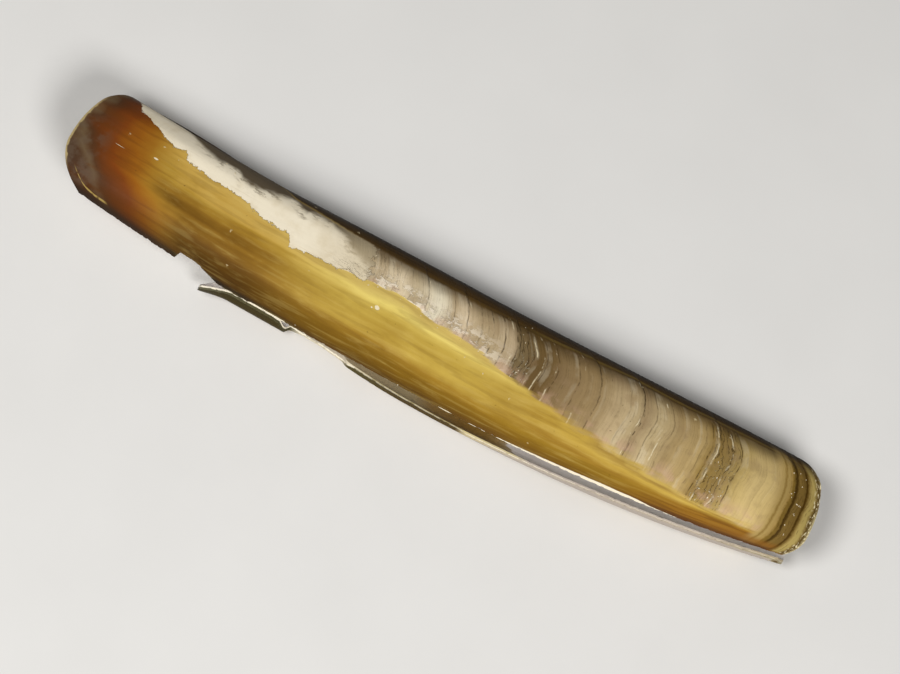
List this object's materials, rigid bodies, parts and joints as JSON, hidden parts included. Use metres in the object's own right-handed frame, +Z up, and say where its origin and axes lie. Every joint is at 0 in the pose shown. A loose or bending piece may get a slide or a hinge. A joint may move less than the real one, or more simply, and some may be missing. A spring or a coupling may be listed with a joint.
{
  "type": "razor clam shell",
  "caption": "Gaping razor clam shell with both long half-tube valves still joined at the hinge, lying on its right valve.",
  "frame": {"origin": "under the middle of the shell, on the surface that it lies on", "axes": "+X along the shell to its hind (siphon) end, +Y towards the hinge, +Z up"},
  "size_m": [0.15, 0.0258, 0.0172],
  "materials": {
    "left_valve": "glossy olive-gold periostracum over chalky white shell",
    "right_valve": "olive-brown periostracum outside, porcelain grey inside",
    "hinge_ligament": "dried horny ligament, dull dark brown"
  },
  "bodies": {
    "root": {"left_valve": "left_valve", "right_valve": "right_valve", "hinge_ligament": "hinge_ligament"}
  },
  "joints": []
}
